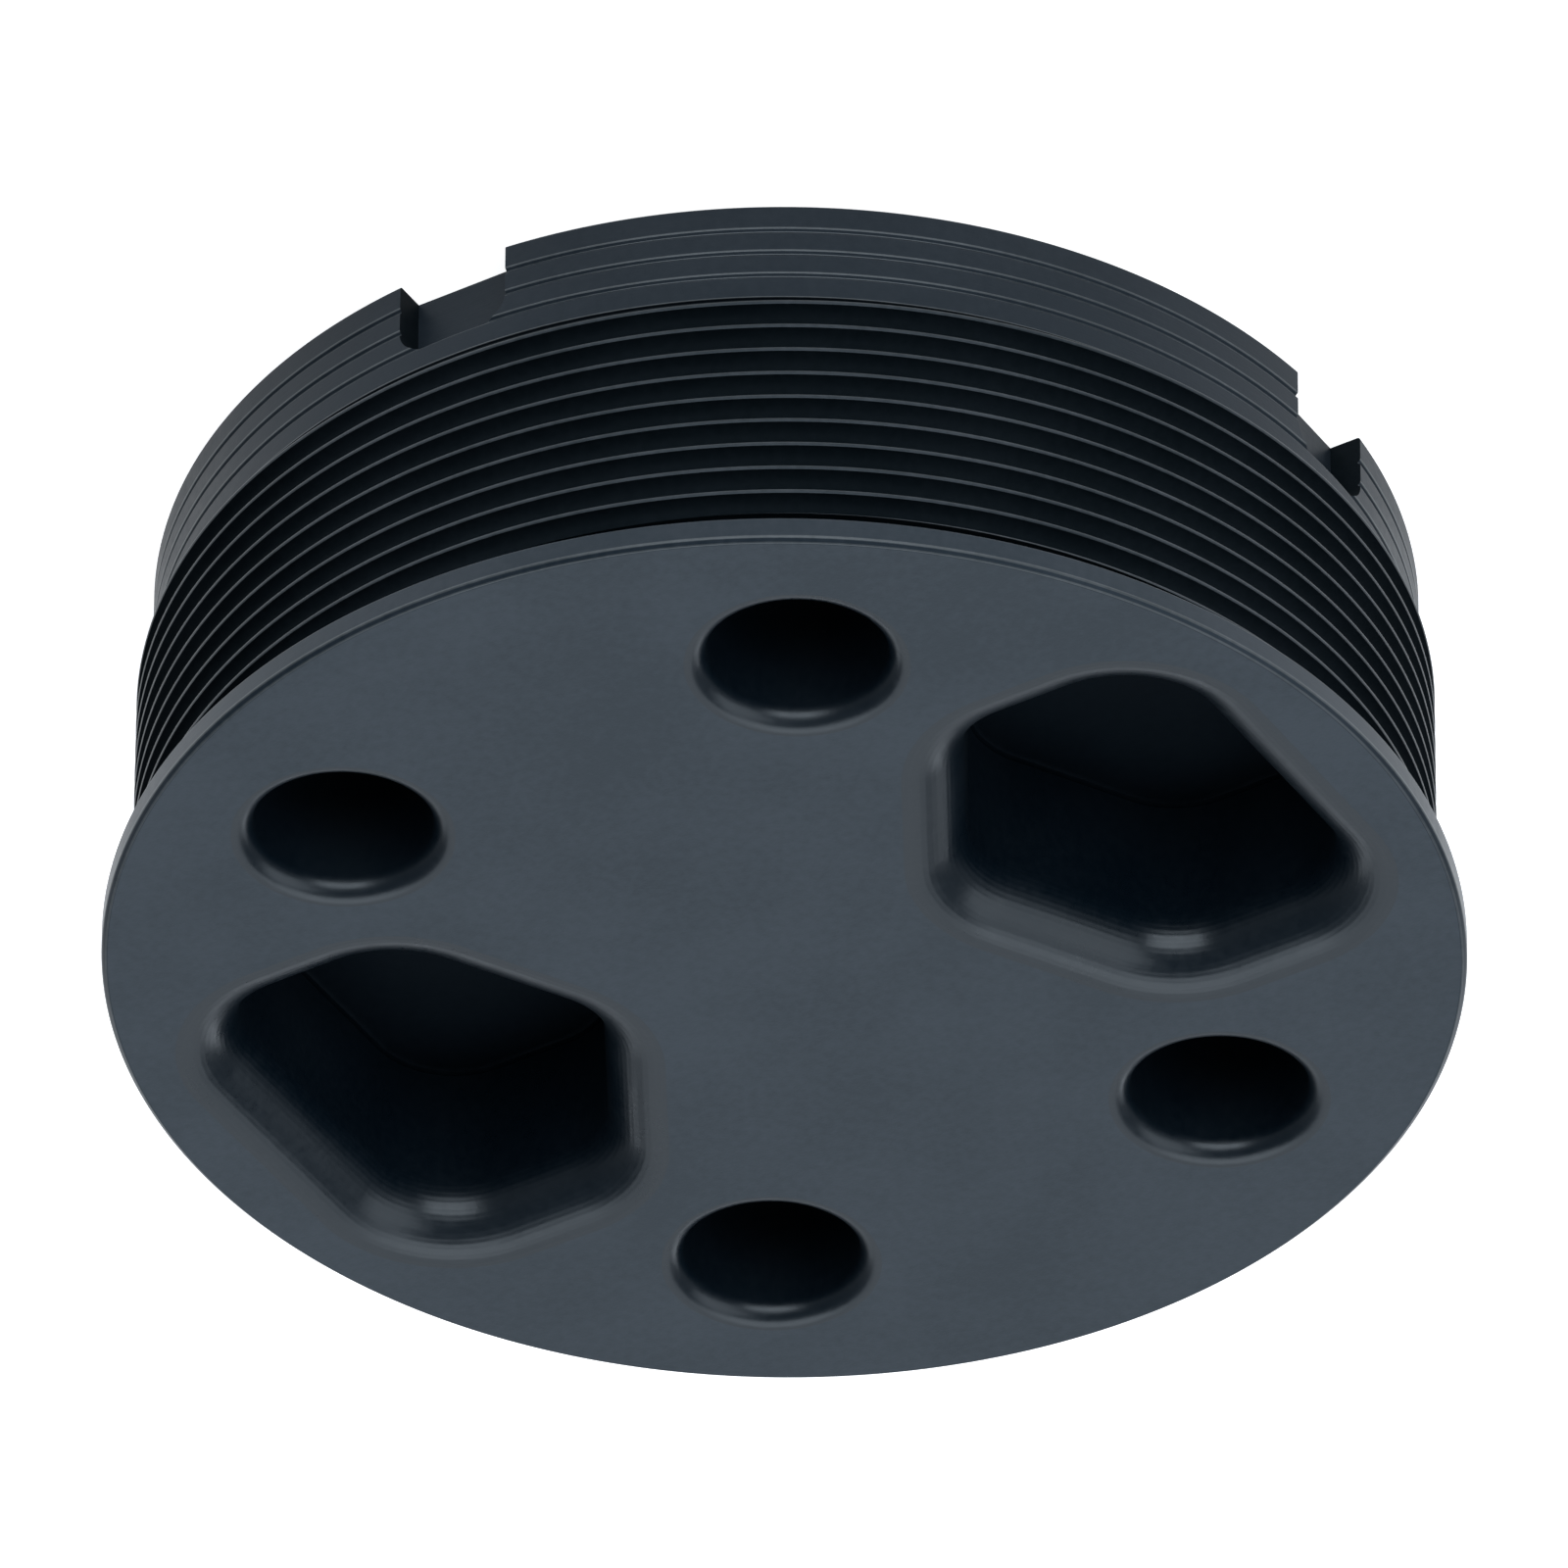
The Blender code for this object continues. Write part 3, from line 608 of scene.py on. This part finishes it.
def scalloped_levels():
    """The pocket's rounded mouth, with the shallow hollows that the ball cutter's passes leave."""
    levels = []
    count = MOUTH_PASSES * PASS_STEPS
    for i in range(count + 1):
        angle = math.pi / 2 * i / count
        hollow = PASS_DEPTH * math.sin(math.pi * (i % PASS_STEPS) / PASS_STEPS)
        reach = POCKET_MOUTH_RADIUS - hollow
        z = FACE_Z - POCKET_MOUTH_RADIUS + reach * math.sin(angle)
        levels.append((z, POCKET_MOUTH_RADIUS - reach * math.cos(angle)))
    return levels + [(FACE_Z + OVERSHOOT, POCKET_MOUTH_RADIUS)]


def pocket_cutter(turn):
    foot_top, turning = POCKET_FLOOR + POCKET_FOOT, 0.3 * POCKET_FOOT
    levels = [(POCKET_FLOOR, -POCKET_FOOT), (POCKET_FLOOR + turning, -turning), (foot_top, 0)]
    levels += scalloped_levels()
    loops = [[(x, y, z) for x, y in pocket_outline(grown, turn)] for z, grown in levels]
    cutter = lofted("pocket_cutter", loops, pocket_shade_finish)
    cutter.data.materials.append(pocket_floor_shade_finish)
    # The floor and its rounded foot get the pocket floor's painted shade
    for face in cutter.data.polygons:
        face.material_index = int(face.center.z < foot_top)
    return cutter


def bolt_bore_cutter(centre):
    floor = FACE_Z - HEAD_BORE_DEPTH
    profile = [(0, -OVERSHOOT), (BOLT_HOLE_RADIUS, -OVERSHOOT)]
    profile += [(BOLT_HOLE_RADIUS, floor), (HEAD_BORE_RADIUS, floor)]
    mouth = mouth_levels(BORE_MOUTH_RADIUS, BORE_MOUTH_STEPS)
    profile += [(HEAD_BORE_RADIUS + grown, z) for z, grown in mouth]
    profile.append((0, FACE_Z + OVERSHOOT))
    # The bore's wall and mouth get the pocket's painted shade
    return revolved("bore_cutter", profile, AROUND_BORE, pocket_shade_finish, centre)


def pawl_pivot(turn=0.0):
    return polar(PAWL_PIVOT_RADIUS, PAWL_PIVOT_ANGLE + turn)


def slot_wall_end():
    """The inner wall's end behind the pawl's tip, when the pawl is pushed right in."""
    swing = PAWL_TRAVEL * math.dist(pawl_pivot(), polar(PAWL_TIP_RADIUS, PAWL_TIP_ANGLE))
    radius = PAWL_TIP_RADIUS - PAWL_WIDTH - swing - SPRING_ROOM
    return polar(radius, SLOT_TIP * PAWL_TIP_ANGLE)


def pawl_slot_cutter(turn):
    outside = NECK_RADIUS + OVERSHOOT
    start, end = PAWL_PIVOT_ANGLE + SLOT_HEEL_START, PAWL_PIVOT_ANGLE + math.pi
    outline = [
        polar(outside, -PAWL_TIP_ANGLE),
        polar(outside, PAWL_PIVOT_ANGLE / 2),
        polar(outside, PAWL_PIVOT_ANGLE + SLOT_EDGE),
        *arc(pawl_pivot(), PAWL_HEEL_RADIUS + SEAT_GAP, start, end, CORNER_STEPS),
        slot_wall_end(),
    ]
    low, high = PAWL_Z - SEAT_GAP, PAWL_Z + PAWL_THICKNESS + SEAT_GAP
    return prism("pawl_slot", turned_points(outline, turn), low, high, inner_finish)


def make_core():
    profile = [
        (0, STEM_BOTTOM),
        (NECK_RADIUS, STEM_BOTTOM),
        (NECK_RADIUS, SHOULDER_Z),
        (STEM_RADIUS, SHOULDER_Z),
        (STEM_RADIUS, FLANGE_UNDER),
        (FLANGE_RADIUS - EDGE_CHAMFER, FLANGE_UNDER),
        (FLANGE_RADIUS, FLANGE_UNDER + EDGE_CHAMFER),
        (FLANGE_RADIUS, FACE_Z - EDGE_CHAMFER),
        (FLANGE_RADIUS - EDGE_CHAMFER, FACE_Z),
        (0, FACE_Z),
    ]
    core = revolved("winch_core", eased(profile, face_points=3), AROUND, face_finish)
    core.data.materials.append(rim_finish)
    core.data.materials.append(edge_highlight_finish)
    for face in core.data.polygons:
        across = math.hypot(face.center.x, face.center.y)
        # Rounded edges of the flange that look up get the painted highlight
        if across > FLANGE_RADIUS - EDGE_CHAMFER - FACE_EDGE_EASE and face.center.z > FLANGE_UNDER:
            face.material_index = edge_index(face, edge=2, plain=1)
    pin, above_pin = PAWL_PIN_RADIUS + SEAT_GAP, SHOULDER_Z + SEAT_GAP
    for turn in (0, math.pi):
        pin_hole = cylinder(pin, 0, above_pin, pawl_pivot(turn), AROUND_SMALL, inner_finish)
        cut(core, pocket_cutter(turn), pawl_slot_cutter(turn), pin_hole)
    cut(core, *[bolt_bore_cutter(place) for place in bolt_places()])
    screw, above_screw = SCREW_RADIUS + SEAT_GAP, SCREW_SUNK + SCREW_LENGTH + SEAT_GAP
    places = screw_places()
    cut(core, *[cylinder(screw, 0, above_screw, p, AROUND_SMALL, inner_finish) for p in places])
    place_piece(smooth(core), "fixed_frame", "core_anodised", "core")


# ---------------------------------------------------------------- base plate


def notch_cutter(turn):
    """Open at the rim and outwards, with a flat back and rounded upper corners."""
    half = NOTCH_WIDTH / 2
    side = half - NOTCH_CORNER
    top = NOTCH_HEIGHT - NOTCH_CORNER
    outline = [(-half, -OVERSHOOT), (half, -OVERSHOOT)]
    outline += arc((side, top), NOTCH_CORNER, 0, math.pi / 2, CORNER_STEPS)
    outline += arc((-side, top), NOTCH_CORNER, math.pi / 2, math.pi, CORNER_STEPS)
    c, s = math.cos(turn), math.sin(turn)
    depths = (BAND_RADIUS - NOTCH_DEPTH, BAND_RADIUS + OVERSHOOT)
    loops = [[(c * x - s * y, s * x + c * y, z) for y, z in outline] for x in depths]
    # The notch's sides and top get the groove's painted shade; the flat back keeps the band's
    # colour
    cutter = lofted("notch_cutter", loops, groove_shade_finish)
    cutter.data.materials.append(band_finish)
    cutter.data.polygons[0].material_index = 1  # the flat back
    return cutter


def screw_hole_cutter(centre):
    head = SCREW_HEAD_RADIUS + SEAT_GAP
    shank = SCREW_RADIUS + SEAT_GAP
    above = BAND_HEIGHT + OVERSHOOT
    profile = [(0, -OVERSHOOT), (head, -OVERSHOOT), (head, SCREW_SUNK)]
    profile += [(shank, SCREW_SUNK + head - shank), (shank, above), (0, above)]
    return revolved("screw_hole", profile, AROUND_SMALL, inner_finish, centre)


def make_base_plate():
    profile = [(0, 0), (BAND_RADIUS - RIM_BEVEL, 0), (BAND_RADIUS, RIM_BEVEL)]
    for z in LINE_HEIGHTS:
        profile.append((BAND_RADIUS, z - LINE_WIDTH / 2))
        profile.append((BAND_RADIUS - LINE_DEPTH, z))
        profile.append((BAND_RADIUS, z + LINE_WIDTH / 2))
    profile += [(BAND_RADIUS, BAND_HEIGHT), (0, BAND_HEIGHT)]
    plate = revolved("winch_base_plate", eased(profile), AROUND, band_finish)
    plate.data.materials.append(edge_highlight_finish)
    for face in plate.data.polygons:
        # Rounded edges of the scribed lines that look up get the painted highlight
        if math.hypot(face.center.x, face.center.y) > BAND_RADIUS - LINE_DEPTH:
            face.material_index = edge_index(face, edge=1, plain=0)
    cut(plate, *[notch_cutter(math.tau * i / NOTCH_COUNT) for i in range(NOTCH_COUNT)])
    hole = (BOLT_HOLE_RADIUS, -OVERSHOOT, BAND_HEIGHT + OVERSHOOT)
    holes = [cylinder(*hole, place, AROUND_BORE, inner_finish) for place in bolt_places()]
    cut(plate, *holes, *[screw_hole_cutter(place) for place in screw_places()])
    place_piece(smooth(plate), "fixed_frame", "base_anodised", "base_plate")


# ---------------------------------------------------------------- drum


def groove_radius(turns):
    """Radius of the grooved surface at a height, in turns above the middle of a crest."""
    away = abs(turns - round(turns)) * GROOVE_PITCH
    half_groove = (GROOVE_PITCH - CREST_WIDTH) / 2
    from_middle = max(0.0, GROOVE_PITCH / 2 - away) / half_groove
    if from_middle >= 1:
        return CREST_RADIUS - CREST_WEAR * (away / (CREST_WIDTH / 2)) ** 2
    depth = (GROOVE_DEPTH - CREST_WEAR) * (1 - from_middle**2) ** GROOVE_SWELL
    return CREST_RADIUS - CREST_WEAR - depth


def groove_shares():
    """(height as a share of the pitch, whether the strip above is crest) for a turn's rows."""
    half = CREST_WIDTH / 2 / GROOVE_PITCH
    shares = [(-half, True), (-half / 2, True), (0.0, True), (half / 2, True)]
    for i in range(GROOVE_ROWS):
        shares.append((0.5 - (0.5 - half) * math.cos(math.pi * i / GROOVE_ROWS), False))
    return shares


def tooth_columns():
    """(angle, radius) round the hollow of the ratchet ring.
    Two columns a tooth lie exactly on the race's radius."""
    pitch = math.tau / TOOTH_COUNT
    rise = (RACE_RADIUS - TOOTH_TIP_RADIUS) / TOOTH_DEPTH
    # Shares of the tooth's pitch: the steep flank's foot, then the ramp, which ends at the tip
    steep, ramp_start, ramp_end = 0.03, 0.45, 0.92
    on_ramp = ramp_end - rise * (ramp_end - ramp_start)
    shape = [(0.0, 0), (steep * rise, rise)]
    shape += [(share, 1) for share in (steep, 0.17, 0.31, ramp_start)]
    shape.append((on_ramp, rise))
    for share in (0.66, 0.79, ramp_end):
        shape.append((share, (ramp_end - share) / (ramp_end - ramp_start)))
    columns = []
    for i in range(TOOTH_COUNT):
        for along, depth in shape:
            columns.append((pitch * (i + along), TOOTH_TIP_RADIUS + TOOTH_DEPTH * depth))
    return columns


def make_drum():
    """Rows follow the helix and stop at both ends. Inside, plain loops and the teeth close
    the ring."""
    low, high = DRUM_BOTTOM, DRUM_TOP - RELIEF_HEIGHT
    shares = groove_shares()
    count = math.ceil((high - low) / GROOVE_PITCH) + 2
    starts, crests = [], []
    for turn in range(-1, count):
        starts += [(turn + share) * GROOVE_PITCH for share, _ in shares]
        crests += [int(crest) for _, crest in shares]
    teeth = tooth_columns()
    shift = round(CREST_START / (math.tau / TOOTH_COUNT)) * (len(teeth) // TOOTH_COUNT)
    inside = [
        (DRUM_TOP, BORE_RADIUS),
        (TOOTH_TOP, BORE_RADIUS),
        (TOOTH_TOP, None),
        (TOOTH_BOTTOM, None),
        (TOOTH_BOTTOM, RACE_RADIUS),
        (CAGE_Z, RACE_RADIUS),
        (CAGE_Z, WASHER_RECESS_RADIUS),
        (DRUM_BOTTOM, WASHER_RECESS_RADIUS),
    ]
    bm = bmesh.new()
    columns = []
    for i in range(AROUND + 1):
        share = i / AROUND
        angle = CREST_START + math.tau * share
        crest = low + CREST_RISE + GROOVE_PITCH * (share - 1)
        column = []
        for start in starts:
            z = min(high, max(low, crest + start))
            column.append((*polar(groove_radius((z - crest) / GROOVE_PITCH), angle), z))
        column += [(*polar(ROOT_RADIUS, angle), z) for z in (high, DRUM_TOP)]
        tooth_angle, tooth_radius = teeth[(i + shift) % len(teeth)]
        column += [(*polar(radius or tooth_radius, tooth_angle), z) for z, radius in inside]
        columns.append([bm.verts.new(point) for point in column])
    grooved = len(starts)
    for first, second in zip(columns, columns[1:]):
        for row in range(len(first)):
            above = (row + 1) % len(first)
            face = bm.faces.new((first[row], second[row], second[above], first[above]))
            # Crest strips get the painted highlight, and the groove strips get the painted shade
            if row < grooved - 1:
                face.material_index = crests[row]
            elif row > grooved:
                face.material_index = 2
    bmesh.ops.remove_doubles(bm, verts=bm.verts, dist=MERGE)
    bmesh.ops.dissolve_degenerate(bm, edges=bm.edges, dist=MERGE)
    drum = add_object("winch_drum", bm, groove_shade_finish, crest_highlight_finish, inner_finish)
    place_piece(smooth(drum, DRUM_SHARP), "drum", "drum_anodised", "drum")


# ---------------------------------------------------------------- pawl springs


def make_spring(side, turn):
    """The bowed leaf, as in the CAD."""

    def round_axis(point):
        x, y = turned_points([point[:2]], -turn)[0]
        return math.atan2(y, x)

    node = "pawl_spring_" + side
    leaf = bpy.data.objects.new("winch_" + node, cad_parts[node].data.copy())
    bpy.context.scene.collection.objects.link(leaf)
    leaf.data.materials.clear()
    leaf.data.materials.append(spring_finish)
    place_piece(leaf, "fixed_frame", "spring_steel", node)
    points = [vertex.co for vertex in leaf.data.vertices]
    first, last = min(points, key=round_axis), max(points, key=round_axis)
    along = Vector((last.x - first.x, last.y - first.y, 0)).normalized()
    out = Vector((along.y, -along.x, 0))
    if out.dot(Vector((first.x, first.y, 0))) < 0:
        out = -out
    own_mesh(leaf)


# ---------------------------------------------------------------- studio


def world_light():
    """A soft sky: bright low down all round, dark overhead."""
    world = bpy.data.worlds.new("studio")
    bpy.context.scene.world = world
    world.use_nodes = True
    tree = world.node_tree
    looking = add_node(tree, "ShaderNodeTexCoord").outputs["Generated"]
    height = add_node(tree, "ShaderNodeSeparateXYZ", {0: looking}).outputs[2]
    ramp = add_node(tree, "ShaderNodeValToRGB", {0: height})
    stops = [(0.0, 0.30), (0.15, 0.22), (0.40, 0.14), (0.70, 0.10), (1.0, 0.10)]
    for level, _ in stops[1:-1]:
        ramp.color_ramp.elements.new(level)
    for element, (level, brightness) in zip(ramp.color_ramp.elements, stops):
        element.position = level
        element.color = (*[brightness * share for share in COOL_LIGHT], 1)
    background = tree.nodes["Background"]
    tree.links.new(ramp.outputs[0], background.inputs["Color"])
    background.inputs["Strength"].default_value = 1.0


def direction(azimuth, elevation):
    across = math.cos(elevation)
    return Vector((across * math.cos(azimuth), across * math.sin(azimuth), math.sin(elevation)))


def soft_light(name, side, elevation, width, height, radiance):
    """An area light that looks at the object. side is its azimuth from the camera's, in degrees."""
    lamp = bpy.data.lights.new(name, "AREA")
    lamp.shape = "RECTANGLE"
    lamp.size = width
    lamp.size_y = height
    lamp.energy = radiance * math.pi * width * height
    lamp.color = COOL_LIGHT
    made = bpy.data.objects.new(name, lamp)
    away = direction(CAMERA_AZIMUTH + math.radians(side), math.radians(elevation))
    made.location = Vector((0, 0, FACE_Z)) + away * LIGHT_DISTANCE
    made.rotation_euler = away.to_track_quat("Z", "Y").to_euler()
    made.visible_camera = False
    bpy.context.scene.collection.objects.link(made)


def make_floor():
    """Backlit white acrylic, wide enough to fill every view."""
    bm = bmesh.new()
    bmesh.ops.create_circle(bm, cap_ends=True, radius=FLOOR_RADIUS, segments=64)
    floor = add_object("floor", bm)
    made = bpy.data.materials.new("floor_acrylic")
    made.use_nodes = True
    tree = made.node_tree
    shader = tree.nodes["Principled BSDF"]
    shader.inputs["Base Color"].default_value = (0.8, 0.8, 0.8, 1)
    shader.inputs["Roughness"].default_value = 0.9
    shader.inputs["Specular IOR Level"].default_value = 0.0
    shader.inputs["Emission Color"].default_value = (1, 1, 1, 1)
    shader.inputs["Emission Strength"].default_value = FLOOR_GLOW
    floor.data.materials.append(made)


def make_camera():
    camera = bpy.data.cameras.new("camera")
    camera.sensor_width = SENSOR
    camera.lens = LENS
    camera.clip_start = 0.1
    camera.clip_end = 100.0
    away = direction(CAMERA_AZIMUTH, CAMERA_ELEVATION)
    right = Vector((0, 0, 1)).cross(away).normalized()
    up = away.cross(right)
    c, s = math.cos(CAMERA_ROLL), math.sin(CAMERA_ROLL)
    image_right = -c * right - s * up
    image_down = -s * right + c * up
    frame_width = SENSOR / LENS * CAMERA_DISTANCE
    face = Vector((0, 0, FACE_Z))
    eye = face + away * CAMERA_DISTANCE
    aim = face - (FACE_BELOW_CENTRE * image_down + FACE_RIGHT_OF_CENTRE * image_right) * frame_width
    back = (eye - aim).normalized()
    top = (-image_down - back * back.dot(-image_down)).normalized()
    side = top.cross(back)
    made = bpy.data.objects.new("camera", camera)
    made.matrix_world = Matrix.Translation(eye) @ Matrix((side, top, back)).transposed().to_4x4()
    bpy.context.scene.collection.objects.link(made)
    bpy.context.scene.camera = made


# ---------------------------------------------------------------- all of it

make_core()
make_base_plate()
make_drum()
make_spring("a", 0.0)
make_spring("b", math.pi)

# By the start of the node's name: the first that fits counts
FINISHES = {
    "bearing_sleeve": acetal_finish,
    "upper_thrust_washer": acetal_finish,
    "lower_thrust_washer": acetal_finish,
    "roller_cage": acetal_finish,
    "roller": steel_finish,
    "pawl_pin": steel_finish,
    "pawl_spring": spring_finish,
    "base_screw": steel_finish,
    "pawl": bronze_finish,
}
for name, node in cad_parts.items():
    found = [surface for start, surface in FINISHES.items() if name.startswith(start)]
    if found:
        node.data.materials.clear()
        node.data.materials.append(found[0])

make_floor()
world_light()
# Degrees round from the camera and up, then width and height in metres, then radiance
soft_light("back_softbox", 180, 43, 1.5, 0.90, 0.95)
soft_light("back_top_softbox", 180, 77, 1.3, 0.80, 2.4)
soft_light("back_low_strip", 180, 14, 2.0, 0.20, 1.4)
soft_light("front_strip", 0, 17, 1.5, 0.75, 3.0)
soft_light("right_softbox", -72, 42, 1.3, 1.1, 1.5)
soft_light("right_strip", -148, 4, 0.6, 0.16, 1.8)
make_camera()
bpy.context.scene.view_settings.view_transform = "Standard"
